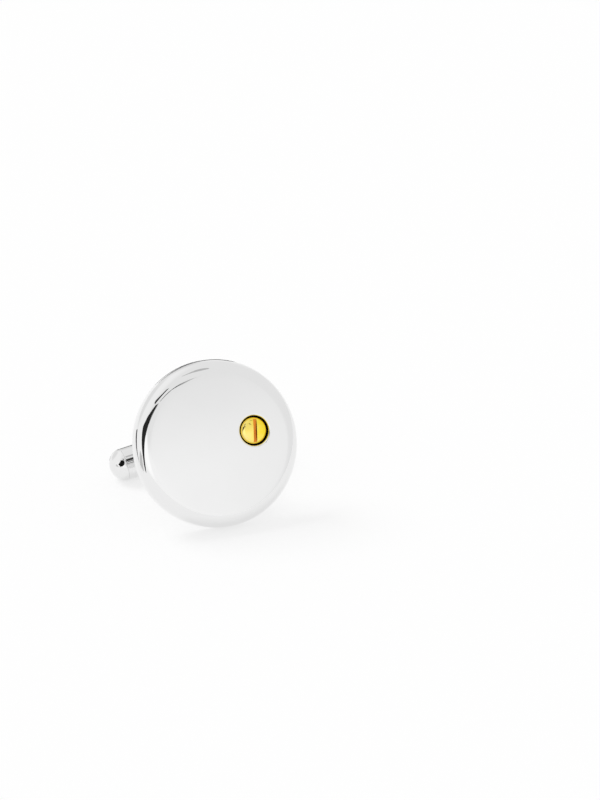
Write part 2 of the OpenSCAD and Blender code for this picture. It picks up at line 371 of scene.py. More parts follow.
def mirror_rhodium(name, colour):
    """Rhodium plate on polished brass: electroplated and buffed on a soft wheel.

    The eye sees a near perfect cool white mirror, with a faint waviness left by the
    wheel, a few hairlines and a breath of haze here and there.
    """
    material = blank(name)
    place = own_place(material, STANDING)
    clouds = add(material, "ShaderNodeTexNoise", {"Scale": per(6), "Detail": 2.0},
                 {"Vector": place})
    clouded = [c * 0.965 for c in colour]
    shade = add(material, "ShaderNodeMix", {"A": (*colour, 1), "B": (*clouded, 1)},
                {"Factor": clouds.outputs["Fac"]}, data_type="RGBA")
    haze = add(material, "ShaderNodeTexNoise",
               {"Scale": per(2.2), "Detail": 3.0, "Distortion": 0.6}, {"Vector": place})
    # Hairlines run across the face as the buffing wheel does, drawn coarser than
    # the real micrometre scratches so that they show at all
    stretch = add(material, "ShaderNodeMapping",
                  {"Rotation": (0.3, 0.2, 0.9), "Scale": (1, 14, 14)}, {"Vector": place})
    hairs = add(material, "ShaderNodeTexNoise", {"Scale": per(3), "Detail": 4.0},
                {"Vector": stretch.outputs["Vector"]})
    breath = add(material, "ShaderNodeMath", operation="MULTIPLY",
                 links={0: haze.outputs["Fac"], 1: hairs.outputs["Fac"]})
    gloss = add(material, "ShaderNodeMapRange",
                {"From Min": 0.15, "From Max": 0.45, "To Min": 0.015, "To Max": 0.06},
                {"Value": breath.outputs["Value"]})
    waves = add(material, "ShaderNodeTexNoise", {"Scale": per(2.5), "Detail": 1.0},
                {"Vector": place})
    swell = add(material, "ShaderNodeBump", {"Distance": 0.0006 * MM},
                {"Height": waves.outputs["Fac"]})
    scratch = add(material, "ShaderNodeBump", {"Distance": 0.00002 * MM},
                  {"Height": hairs.outputs["Fac"], "Normal": swell.outputs["Normal"]})
    surface = add(material, "ShaderNodeBsdfPrincipled", {"Metallic": 1.0},
                  {"Base Color": shade.outputs["Result"], "Roughness": gloss.outputs["Result"],
                   "Normal": scratch.outputs["Normal"]})
    add(material, "ShaderNodeOutputMaterial", links={"Surface": surface.outputs["BSDF"]})
    return material


def turned_gold(colour, place):
    """Gold plate on a turned brass screw: faced on a lathe, then plated and polished.

    The eye sees a warm yellow mirror with soft rings round the screw's axis,
    which the polish has nearly closed, and a painted highlight that pales the side
    towards the middle of the disc.
    """
    material = blank("gold plate, faced on a lathe")
    here = own_place(material, place)
    # Rings of this texture are 2 pi / (20 x scale) apart, here 0.3 mm: coarser than the feed
    # of a lathe, so that they show
    rings = add(material, "ShaderNodeTexWave",
                {"Scale": per(0.05) / 20, "Distortion": 0.4, "Detail": 2.0, "Detail Scale": 1.5},
                {"Vector": here}, wave_type="RINGS", rings_direction="Z")
    clouds = add(material, "ShaderNodeTexNoise", {"Scale": per(0.9), "Detail": 2.0},
                 {"Vector": here})
    # Painted highlight: the colour is paler towards the middle of the disc, where the head mirrors
    # bright light, mixed with clouds of random tone
    side = add(material, "ShaderNodeSeparateXYZ", links={"Vector": here}).outputs["X"]
    thick = add(material, "ShaderNodeMapRange",
                {"From Min": -1.3 * MM, "From Max": 1.2 * MM, "To Min": -0.35, "To Max": 0.55},
                {"Value": side})
    depth = add(material, "ShaderNodeMath", operation="ADD", use_clamp=True,
                links={0: clouds.outputs["Fac"], 1: thick.outputs["Result"]})
    red, green, blue = colour
    pale_highlight, deep = (red, green, blue * 1.9, 1), (red, green * 0.93, blue * 0.35, 1)
    shade = add(material, "ShaderNodeMix", {"A": pale_highlight, "B": deep},
                {"Factor": depth.outputs["Value"]}, data_type="RGBA")
    gloss = add(material, "ShaderNodeMapRange", {"To Min": 0.03, "To Max": 0.11},
                {"Value": clouds.outputs["Fac"]})
    groove = add(material, "ShaderNodeBump", {"Distance": 0.00006 * MM},
                 {"Height": rings.outputs["Fac"]})
    surface = add(material, "ShaderNodeBsdfPrincipled", {"Metallic": 1.0},
                  {"Base Color": shade.outputs["Result"], "Roughness": gloss.outputs["Result"],
                   "Normal": groove.outputs["Normal"]})
    add(material, "ShaderNodeOutputMaterial", links={"Surface": surface.outputs["BSDF"]})
    return material


def slot_gold_in_painted_shade(name, colour, place):
    """Gold plate on a slot cut by a slitting saw, in painted shade.

    The eye sees a darker, deeper orange than on the head, painted for the shade in the slot,
    satin, with lines along the slot.
    """
    material = blank(name)
    here = own_place(material, place)
    stretch = add(material, "ShaderNodeMapping", {"Scale": (1, 1, 6)}, {"Vector": here})
    lines = add(material, "ShaderNodeTexNoise", {"Scale": per(0.25), "Detail": 3.0},
                {"Vector": stretch.outputs["Vector"]})
    worn = [c * 0.75 for c in colour]
    shade = add(material, "ShaderNodeMix", {"A": (*colour, 1), "B": (*worn, 1)},
                {"Factor": lines.outputs["Fac"]}, data_type="RGBA")
    groove = add(material, "ShaderNodeBump", {"Strength": 0.5, "Distance": 0.0008 * MM},
                 {"Height": lines.outputs["Fac"]})
    surface = add(material, "ShaderNodeBsdfPrincipled", {"Metallic": 1.0, "Roughness": 0.35},
                  {"Base Color": shade.outputs["Result"], "Normal": groove.outputs["Normal"]})
    add(material, "ShaderNodeOutputMaterial", links={"Surface": surface.outputs["BSDF"]})
    return material


def painted_hole_shade(name, colour, place):
    """Drilled brass in painted shade: a near black colour stands in for the shade down in the
    hole.

    The eye sees a nearly black ring round the head, matt, a little browner in places.
    """
    material = blank(name)
    here = own_place(material, place)
    stains = add(material, "ShaderNodeTexNoise", {"Scale": per(0.4), "Detail": 3.0},
                 {"Vector": here})
    browner = (colour[0] * 2, colour[1] * 1.4, colour[2], 1)
    shade = add(material, "ShaderNodeMix", {"A": (*colour, 1), "B": browner},
                {"Factor": stains.outputs["Fac"]}, data_type="RGBA")
    gloss = add(material, "ShaderNodeMapRange", {"To Min": 0.5, "To Max": 0.8},
                {"Value": stains.outputs["Fac"]})
    surface = add(material, "ShaderNodeBsdfPrincipled", {"IOR": 1.45},
                  {"Base Color": shade.outputs["Result"], "Roughness": gloss.outputs["Result"]})
    add(material, "ShaderNodeOutputMaterial", links={"Surface": surface.outputs["BSDF"]})
    return material


def drawn_steel(name, colour, grain, low, high):
    """Bright steel, drawn or rolled and then tumbled.

    The eye sees a grey metal with a fine grain along its length and a soft
    sheen that is duller where the grain is open.
    """
    material = blank(name)
    place = own_place(material, STANDING)
    stretch = add(material, "ShaderNodeMapping", {"Scale": grain}, {"Vector": place})
    lines = add(material, "ShaderNodeTexNoise", {"Scale": per(0.4), "Detail": 4.0},
                {"Vector": stretch.outputs["Vector"]})
    open_grain = [c * 0.8 for c in colour]
    shade = add(material, "ShaderNodeMix", {"A": (*colour, 1), "B": (*open_grain, 1)},
                {"Factor": lines.outputs["Fac"]}, data_type="RGBA")
    gloss = add(material, "ShaderNodeMapRange", {"To Min": low, "To Max": high},
                {"Value": lines.outputs["Fac"]})
    groove = add(material, "ShaderNodeBump", {"Strength": 0.6, "Distance": 0.0008 * MM},
                 {"Height": lines.outputs["Fac"]})
    surface = add(material, "ShaderNodeBsdfPrincipled", {"Metallic": 1.0},
                  {"Base Color": shade.outputs["Result"], "Roughness": gloss.outputs["Result"],
                   "Normal": groove.outputs["Normal"]})
    add(material, "ShaderNodeOutputMaterial", links={"Surface": surface.outputs["BSDF"]})
    return material


def plated():
    """The rhodium plate, made once and shared by the plated pieces."""
    name = "rhodium plate, buffed to a mirror"
    colour = list(bpy.context.scene.cufflink_finishes.rhodium)
    return bpy.data.materials.get(name) or mirror_rhodium(name, colour)


def bright():
    """The bright steel of the pin and the cam."""
    name = "bright steel, turned"
    colour = list(bpy.context.scene.cufflink_finishes.steel)
    return bpy.data.materials.get(name) or drawn_steel(
        name, colour, grain=(6, 1, 6), low=0.12, high=0.3)


def crown_rim(sizes):
    """Radius at which the crowned face meets the shoulder."""
    return sizes.face_width / 2 - sizes.shoulder * (1 - sin(sizes.crown))


def crown_at(sizes, distance):
    """Height of the crowned face over the CAD model's flat face, this far from its middle."""
    radius = crown_rim(sizes) / sin(sizes.crown)
    return (sqrt(radius ** 2 - distance ** 2) - radius * cos(sizes.crown)
            - sizes.shoulder * (1 - cos(sizes.crown)))


def crown_slope(sizes, distance):
    """How steeply the crowned face falls, this far from its middle."""
    return distance * sin(sizes.crown) / crown_rim(sizes)


def screw_place(sizes):
    """Where the screw stands in the disc, with its zero at the face."""
    return (Matrix.Rotation(sizes.screw_bearing, 4, "Z")
            @ Matrix.Translation((sizes.screw_offset, 0, sizes.face_depth)))


class CUFFLINK_OT_disc(bpy.types.Operator):
    """Face disc with its crowned face, rounded shoulder, screw hole and foot pocket"""

    bl_idname = "cufflink.disc"
    bl_label = "Face disc"

    def execute(self, context):
        sizes = context.scene.cufflink_sizes
        radius = sizes.face_width / 2
        pocket = (sizes.foot_width / 2 + POCKET_GAP, POCKET_DEPTH)
        edge, shoulder = sizes.back_edge, sizes.shoulder
        centre = (radius - shoulder, sizes.face_depth - shoulder)
        section = [(0, pocket[1]), pocket, (pocket[0], POCKET_EDGE), (pocket[0] + POCKET_EDGE, 0),
                   (radius - edge - BESIDE, 0)]
        section += arc((radius - edge, edge), edge, -90, 0, 10)
        section += crowned(centre, shoulder, sizes.crown, 3)
        disc = turned("face_disc_polished", section)
        place = screw_place(sizes)
        boolean(disc, moved(self.hole_cutter(sizes), place), "DIFFERENCE")
        self.part_shading(disc, sizes)
        dressed(disc, Matrix(), plated(), "rhodium_plate", "face", "face_disc")
        # Painted shade: the hole's wall and floor below the bright wall get a near black colour
        # for the shade down in the hole
        colour = list(context.scene.cufflink_finishes.painted_recess_shade)
        painted_recess_shade = painted_hole_shade("painted shade in the screw's hole", colour, STANDING)
        mouth = sizes.hole_width / 2 + MOUTH_REACH
        painted_shade_top = crown_at(sizes, sizes.screw_offset) - sizes.lip - POLISHED_WALL

        def is_in_painted_shade(spot, normal):
            return hypot(spot.x, spot.y) < mouth and spot.z < painted_shade_top

        repainted(disc, STANDING @ place, painted_recess_shade, is_in_painted_shade)
        return {"FINISHED"}

    def part_shading(self, disc, sizes):
        """Marks the brim of the lip as sharp, so that the face round it keeps its own shading."""
        brim, back = sizes.hole_width / 2 + sizes.lip, screw_place(sizes).inverted()
        activate(disc)
        bpy.ops.object.mode_set(mode="EDIT")
        bpy.ops.mesh.select_all(action="DESELECT")
        bpy.ops.object.mode_set(mode="OBJECT")
        for vertex in disc.data.vertices:
            spot = back @ vertex.co
            off_brim = abs(hypot(spot.x, spot.y) - brim)
            vertex.select = spot.z > -sizes.lip / 2 and off_brim < BRIM_REACH
        bpy.ops.object.mode_set(mode="EDIT")
        bpy.ops.mesh.mark_sharp()
        bpy.ops.object.mode_set(mode="OBJECT")

    def hole_cutter(self, sizes):
        """The stepped hole of the screw, with a rounded lip, as a solid."""
        radius, lip = sizes.hole_width / 2, sizes.lip
        floor = -sizes.head_depth - SEAT_GAP
        bottom = floor - SHANK_HOLE_DEPTH
        # The brim of the lip lies on the crown, just under the tangent at the screw
        brim = radius + lip
        rise = crown_at(sizes, sizes.screw_offset) - BRIM_SINK * brim * crown_slope(sizes, brim)
        section = [(0, bottom), (SHANK_HOLE, bottom), (SHANK_HOLE, floor), (radius, floor),
                   (radius, rise - lip - POLISHED_WALL)]
        section += [(radius + lip * (1 - cos(a)), rise - lip + lip * sin(a))
                    for a in (radians(d) for d in range(0, 91, 6))]
        section += [(radius + lip, rise + CUTTER_TOP), (0, rise + CUTTER_TOP)]
        cutter = turned("hole_cutter", section, SMALL_TURNS)
        # The lip follows the face, which falls away from the middle of the disc
        fall = crown_slope(sizes, sizes.screw_offset)
        for vertex in cutter.data.vertices:
            if vertex.co.z > rise - lip - CUTTER_SHEAR:
                vertex.co.z -= fall * vertex.co.x
        return cutter


class CUFFLINK_OT_screw(bpy.types.Operator):
    """Gold screw with a rounded head, a driver slot and a shank"""

    bl_idname = "cufflink.screw"
    bl_label = "Gold screw"

    def execute(self, context):
        sizes = context.scene.cufflink_sizes
        radius, top = sizes.head_width / 2, crown_at(sizes, sizes.screw_offset)
        floor = -sizes.head_depth - SEAT_GAP
        section = [(0, floor - SHANK_DEPTH), (SHANK - SHANK_EDGE, floor - SHANK_DEPTH),
                   (SHANK, floor - SHANK_SIDE), (SHANK, floor), (radius - HEAD_EDGE, floor),
                   (radius, floor + HEAD_EDGE)]
        section += self.head(radius, top, sizes.head_bevel)
        screw = turned("gold_screw_slotted", section)
        deselect()
        bottom = top - sizes.slot_depth
        bpy.ops.mesh.primitive_cylinder_add(
            vertices=SAW_TURNS, radius=sizes.saw_radius, depth=sizes.slot_width)
        blade = named("slitting_saw")
        turn = Matrix.Rotation(sizes.slot_bearing - sizes.screw_bearing, 4, "Z")
        aside = Matrix.Translation((0, -sizes.slot_aside, bottom + sizes.saw_radius))
        boolean(screw, moved(blade, turn @ aside @ ALONG_PIN), "DIFFERENCE")
        eased(screw, SLOT_EDGE, 2)
        place = screw_place(sizes)
        finishes = context.scene.cufflink_finishes
        gold = turned_gold(list(finishes.gold), STANDING @ place)
        dressed(screw, place, gold, "gold_plate", "face", "gold_screw")
        across = turn @ Vector((0, 1, 0))
        half = sizes.slot_width / 2

        def off_middle(spot):
            return abs(spot.dot(across) + sizes.slot_aside)

        def is_floor(spot, normal):
            away = hypot(spot.x, spot.y)
            outward = spot.x * normal.x + spot.y * normal.y
            return (away < radius and outward < OUTWARD_LIMIT * away
                    and off_middle(spot) < half - WELD
                    and bottom - WELD < spot.z < top - SLOT_REACH)

        def is_wall(spot, normal):
            return (spot.z > bottom and abs(normal.dot(across)) > SIDEWAYS_LIMIT
                    and off_middle(spot) < half + SLOT_REACH)

        # Painted shade: the slot's floor and walls get darker, deeper orange copies of the gold
        # for the shade in the slot
        for name, colour, chosen in (
                ("gold plate on the slot's floor, painted shade", finishes.slot_floor_painted_shade, is_floor),
                ("gold plate on the slot's walls, painted shade", finishes.slot_wall_painted_shade, is_wall)):
            sawn = slot_gold_in_painted_shade(name, list(colour), STANDING @ place)
            repainted(screw, STANDING @ place, sawn, chosen)
        return {"FINISHED"}

    def head(self, radius, top, bevel):
        """Points of the top of the head, as arcs that slope less and less."""
        bevel_curve = bevel / (sin(radians(EDGE_END)) - sin(radians(BEVEL_END)))
        slopes = ((90, EDGE_END, EDGE_CURVE), (EDGE_END, BEVEL_END, bevel_curve),
                  (BEVEL_END, CROWN_START, BREAK_CURVE))
        width = sum(r * (sin(radians(a)) - sin(radians(b))) for a, b, r in slopes)
        height = sum(r * (cos(radians(b)) - cos(radians(a))) for a, b, r in slopes)
        lean = radians(CROWN_START)
        crown = (radius - width) / sin(lean)
        x, z = radius, top - crown * (1 - cos(lean)) - height
        points = [(x, z)]
        for first, last, curve in slopes:
            centre = (x - curve * sin(radians(first)), z - curve * cos(radians(first)))
            points += arc(centre, curve, 90 - first, 90 - last, 2)[1:]
            x, z = points[-1]
        points += arc((0, z - crown * cos(lean)), crown, 90 - CROWN_START, 90, 1)[1:]
        points[-1] = (0, points[-1][1])
        return points


class CUFFLINK_OT_fork(bpy.types.Operator):
    """Foot that is soldered to the disc, and the fork bent from one strip"""

    bl_idname = "cufflink.fork"
    bl_label = "Foot and fork"

    def execute(self, context):
        sizes = context.scene.cufflink_sizes
        self.foot(sizes)
        self.fork(sizes)
        return {"FINISHED"}

    def foot(self, sizes):
        """The foot, which stands out of the pocket in the disc."""
        radius, edge, low, high = sizes.foot_width / 2, FOOT_EDGE, -FOOT_HEIGHT, POCKET_DEPTH
        section = [(0, low), (radius - edge - BESIDE, low)]
        section += arc((radius - edge, low + edge), edge, -90, 0, 9)
        section += [(radius, high), (0, high)]
        foot = turned("foot_plate", section, SMALL_TURNS)
        dressed(foot, Matrix(), plated(), "rhodium_plate", "face", "foot")

    def fork(self, sizes):
        """The fork: a strip bent to a U, cut to its outline, drilled and eased."""
        thick, width = sizes.arm_thickness, sizes.arm_root + SPARE_WIDTH
        outer = sizes.toggle_width / 2 + ARM_GAP + thick
        bend, low = sizes.arm_bend + thick, -FOOT_HEIGHT
        tip = -POST_LENGTH - sizes.arm_eye / 2 - SPARE_LENGTH
        deselect()
        bpy.ops.mesh.primitive_plane_add(size=1)
        fork = named("fork_bent_strip")
        bpy.ops.object.mode_set(mode="EDIT")
        bpy.ops.transform.resize(value=(width, thick, 1))
        bpy.ops.transform.translate(value=(0, outer - thick / 2, tip))
        extruded((0, 0, low - bend - tip))
        bpy.ops.mesh.spin(steps=BEND_STEPS, angle=-pi / 2, axis=(1, 0, 0),
                          center=(0, outer - bend, low - bend))
        extruded((0, -2 * (outer - bend), 0))
        bpy.ops.mesh.spin(steps=BEND_STEPS, angle=-pi / 2, axis=(1, 0, 0),
                          center=(0, bend - outer, low - bend))
        extruded((0, 0, tip - low + bend))
        closed(fork)
        boolean(fork, self.arm_outline(sizes, outer + thick, low), "INTERSECT")
        hole = self.drill(sizes.pin_width / 2 + EYE_PLAY, 3 * outer)
        boolean(fork, hole, "DIFFERENCE")
        eased(fork, FORK_EDGE, 3)
        dressed(fork, Matrix(), plated(), "rhodium_plate", "face", "fork")

    def arm_outline(self, sizes, reach, top):
        """Both arms seen from their flat side, as one block."""
        root, neck, eye = sizes.arm_root / 2, sizes.arm_neck / 2, sizes.arm_eye / 2
        # The straight side leaves the eye where it crosses the eye's circle
        taper = (root - neck) / (POST_LENGTH + top)
        slant = 1 + taper ** 2
        rise = (sqrt((neck * taper) ** 2 - slant * (neck ** 2 - eye ** 2)) - neck * taper) / slant
        start = degrees(atan2(rise, neck + rise * taper))
        outline = [(root, top + SPARE_TOP)]
        outline += arc((0, -POST_LENGTH), eye, start, -180 - start)
        outline += [(-root, top + SPARE_TOP)]
        deselect()
        bpy.ops.mesh.primitive_circle_add(vertices=len(outline), radius=MM, fill_type="NGON")
        block = named("arm_outline")
        for vertex, (x, z) in zip(block.data.vertices, outline):
            vertex.co = (x, -reach, z)
        bpy.ops.object.mode_set(mode="EDIT")
        bpy.ops.mesh.select_all(action="SELECT")
        extruded((0, 2 * reach, 0))
        return closed(block)

    def drill(self, radius, depth):
        """A drill through both eyes, along the pin."""
        deselect()
        bpy.ops.mesh.primitive_cylinder_add(vertices=DRILL_TURNS, radius=radius, depth=depth)
        return moved(named("drill"), AT_PIVOT @ ALONG_PIN)


class CUFFLINK_OT_pin(bpy.types.Operator):
    """Pivot pin with its riveted heads, and the cam that is fixed on it"""

    bl_idname = "cufflink.pin"
    bl_label = "Pin and cam"

    def execute(self, context):
        sizes = context.scene.cufflink_sizes
        reach = sizes.toggle_width / 2 + ARM_GAP + sizes.arm_thickness
        rivet, radius = sizes.rivet_width / 2, sizes.pin_width / 2
        ring, top = rivet - RIVET_EDGE, reach + RIVET_HEIGHT
        head = arc((ring, reach + RIVET_RISE), RIVET_EDGE, 0, 90, 15)
        dome = [(ring - ring * t, top - RIVET_RISE * (1 - t) ** 2) for t in (0.25, 0.5, 0.75, 1)]
        upper = [(radius, reach), (rivet - RIVET_DRAFT, reach), *head[:-1],
                 (ring, top - RIVET_RISE), *dome]
        section = [(r, -z) for r, z in reversed(upper)] + upper
        pin = turned("pivot_pin_riveted", section, SMALL_TURNS)
        dressed(pin, AT_PIVOT @ ALONG_PIN, bright(), "plain_steel", "face", "pivot_pin")
        carried("detent_cam", bright())
        return {"FINISHED"}


class CUFFLINK_OT_toggle(bpy.types.Operator):
    """Tube of the toggle and its two domed caps"""

    bl_idname = "cufflink.toggle"
    bl_label = "Toggle"

    def execute(self, context):
        sizes = context.scene.cufflink_sizes
        self.tube(sizes)
        for name, node, turn in (("cap_left", "end_cap_left", pi),
                                 ("cap_right", "end_cap_right", 0)):
            self.cap(sizes, name, node, Matrix.Rotation(turn, 4, "Z"))
        return {"FINISHED"}

    def tube(self, sizes):
        """The tube, with the hole for the pin across it."""
        radius, seam = sizes.toggle_width / 2, sizes.seam
        bore, half = radius - sizes.tube_wall, sizes.toggle_length / 2 - sizes.dome
        outer = [(bore + BORE_EDGE, half), (radius - seam, half)]
        outer += arc((radius - seam, half - seam), seam, 90, 0, 15)[1:]
        outer += [(radius, half - seam - BESIDE)]
        section = outer + [(r, -z) for r, z in reversed(outer)]
        section += [(bore, BORE_EDGE - half), (bore, half - BORE_EDGE), outer[0]]
        tube = turned("toggle_barrel", section)
        deselect()
        bpy.ops.mesh.primitive_cylinder_add(
            vertices=CROSS_DRILL_TURNS, radius=sizes.pin_width / 2 + TUBE_PLAY,
            depth=2 * sizes.toggle_width)
        drill = moved(named("cross_drill"), Matrix.Rotation(radians(90), 4, "X"))
        boolean(tube, drill, "DIFFERENCE")
        dressed(tube, AT_PIVOT @ ALONG_BAR, plated(), "rhodium_plate", "toggle", "toggle_tube")

    def cap(self, sizes, name, node, turn):
        """One cap: a plug in the bore, a chamfer at the seam, and a dome of two arcs."""
        radius, seam, dome, edge = sizes.toggle_width / 2, sizes.seam, sizes.dome, sizes.dome_edge
        half = sizes.toggle_length / 2 - dome
        plug, ring = radius - sizes.tube_wall - PLUG_GAP, radius - edge
        crown = (ring ** 2 + dome ** 2 - edge ** 2) / (2 * (dome - edge))
        crown_centre = (0, half + dome - crown)
        meet = degrees(atan2(crown - dome, ring))
        section = [(0, half - PLUG_DEPTH), (plug - PLUG_EDGE, half - PLUG_DEPTH),
                   (plug, half - PLUG_SIDE), (plug, half), (radius - seam, half)]
        section += arc((radius - seam, half + seam), seam, -90, 0, 15)[1:]
        section += arc((ring, half), edge, 5, meet, 4)
        section += arc(crown_centre, crown, meet, 90, 3)[1:]
        section[-1] = (0, section[-1][1])
        cap = turned(name, section)
        dressed(cap, AT_PIVOT @ turn @ ALONG_BAR, plated(), "rhodium_plate", "toggle", node)


class CUFFLINK_OT_springs(bpy.types.Operator):
    """Leaf springs inside the toggle, which click on the cam"""

    bl_idname = "cufflink.springs"
    bl_label = "Leaf springs"

    def execute(self, context):
        name = "spring steel, rolled and tempered"
        colour = list(context.scene.cufflink_finishes.spring)
        strip = drawn_steel(name, colour, grain=(1, 8, 8), low=0.2, high=0.38)
        for node in ("leaf_spring_front", "leaf_spring_back"):
            carried(node, strip)
        return {"FINISHED"}


# Camera of the photograph: where it aims, the direction back to it and its distance
AIM = Vector((14.58, 4.57, 8.0)) * MM
BACK = Vector((-0.3523, -0.8248, 0.4423)).normalized()
DISTANCE = 400 * MM
LENS = 146.4
SENSOR = 36

# Sheets that only the metal sees: how bright each is, how far off it stands in mm, and its
# outline as rows of elevation, left azimuth and right azimuth, in degrees from the disc.
# An azimuth of 0 is straight in front, and it grows to the right. The two large dark ones
# stand near, because the cap and the disc mirror them in different directions
CARDS = {
    "flag_left_of_the_camera": (0.024, 45, (
        (-9.6, -78.8, -75.3), (-5.5, -77.8, -73.3), (-1.4, -77.3, -70.6), (2.8, -76.4, -68.9),
        (6.9, -76.7, -67.5), (11, -78.1, -66), (15.2, -80.6, -64.4), (19.3, -83.4, -62.9),
        (23.4, -87, -61.6), (27.6, -89.6, -60.3), (31.7, -86.9, -56.9), (35.8, -82.8, -53.7),
        (40, -79.9, -50.9), (44.1, -73.1, -48.8), (48.2, -66, -43.6), (52.4, -55.4, -39))),
    "flag_arm": (0.1, 305, (
        (39, 6.2, 8.7), (41, 4.4, 7.2), (44, 0.8, 4.2), (46.5, -2.5, 1), (48.3, -10, -2.5),
        (50, -25, -7), (51.4, -26, -12))),
    "flag_hand": (0.42, 305, (
        (32.3, 10.6, 12.6), (35, 8.8, 11.2), (37, 7.4, 10.2), (39, 6.2, 8.7))),
    "flag_shade": (0.35, 310, (
        (39, -46, -42), (42, -44, -36), (45, -42, -31), (48.5, -36, -22))),
    "flag_above_the_camera": (0.05, 45, (
        (52.6, -79.7, -67.3), (53.5, -81.4, -65.3), (54.5, -83, -63.3), (55.4, -81, -61.2),
        (56.3, -78.9, -59.4), (57.2, -76.9, -57.6), (58.1, -74.9, -55.9), (59, -72.9, -54.1),
        (59.9, -70.9, -52.5), (60.8, -68.6, -50.8), (61.8, -66.2, -49.1), (62.7, -64, -47.9),
        (63.6, -63, -46.8), (64.5, -61.9, -45.7), (65.4, -60.2, -45.2), (66.3, -58.5, -44.7))),
    "ceiling": (0.55, 295, (
        (66, 26, 36), (69, 20, 46), (73, 14, 56), (77, 0, 60), (80, -25, 60), (82.5, -40, 50))),
    "near_edge_of_the_table": (0.6, 320, (
        (-14, -102, -87), (-8, -101, -85), (-2, -98, -83), (4, -93, -81))),
    "far_edge_of_the_table": (0.05, 320, ((-6, 152, 177), (-1, 151, 176), (8, 150, 175))),
    "far_floor": (0.12, 330, ((-14, 155, 176), (-8, 153, 176))),
    "shade_behind_the_toggle": (0.2, 60, ((-26, 155, 205), (-22, 155, 205))),
}
# A small flat dark sheet close to the toggle's left cap. Its rows are as seen from a spot on
# the cap's side. It faces this azimuth and elevation, so that the disc's rim sees it edge on
CAP_SPOT = STANDING @ (Vector((-8.7, 0.3, -11.2)) * MM)
CAP_SIDE = (-36, 36)
BY_THE_CAP = (0.01, 12, (
    (1, -61, -58), (4.5, -68, -44), (9.6, -77.5, -38), (16, -76, -30), (23, -73, -20.5),
    (34, -69.5, -17.5), (42, -58, -15.5), (46.5, -52, -15), (50.5, -46.5, -44)))
# Columns of a sheet's grid, and how far over the floor a sheet lies on it
CARD_COLUMNS = 6
ABOVE_FLOOR = 0.1 * MM
# Brighter and darker parts of the studio round about: azimuth and elevation of the middle,
# how far from it the patch begins and is full, all in degrees, and how bright it is
PATCHES = (
    (85, 10, 80, 35, 0.9), (185, 14, 30, 14, 0.74), (-130, 30, 55, 30, 1.0),
    (-152, 16, 27, 11, 0.85), (-46, 18, 20, 7, 1.16))
# Brightness of the studio low down, where the paper sweeps up, and high up, and the heights
# of a direction between which one turns to the other
LOW, HIGH = 1.05, 0.9
SWEEP_START, SWEEP_END = 0.36, 0.52
# Parts of the light on the floor: the studio, the paper's own glow and the lamp, with the
# azimuth and elevation that it shines from
ROUND_ABOUT, GLOW = 0.16, 0.765
LAMP_SIDE, LAMP_STRENGTH, LAMP_SPREAD, LAMP_DISTANCE = (-140, 50), 0.38, 30, 300 * MM
FLOOR_RADIUS, FLOOR_SIDES = 3, 64
CLIP_START, CLIP_END = 1 * MM, 10


def towards(azimuth, elevation):
    """Unit vector of a direction in the studio, given in degrees."""
    a, e = radians(azimuth), radians(elevation)
    return Vector((sin(a) * cos(e), -cos(a) * cos(e), sin(e)))


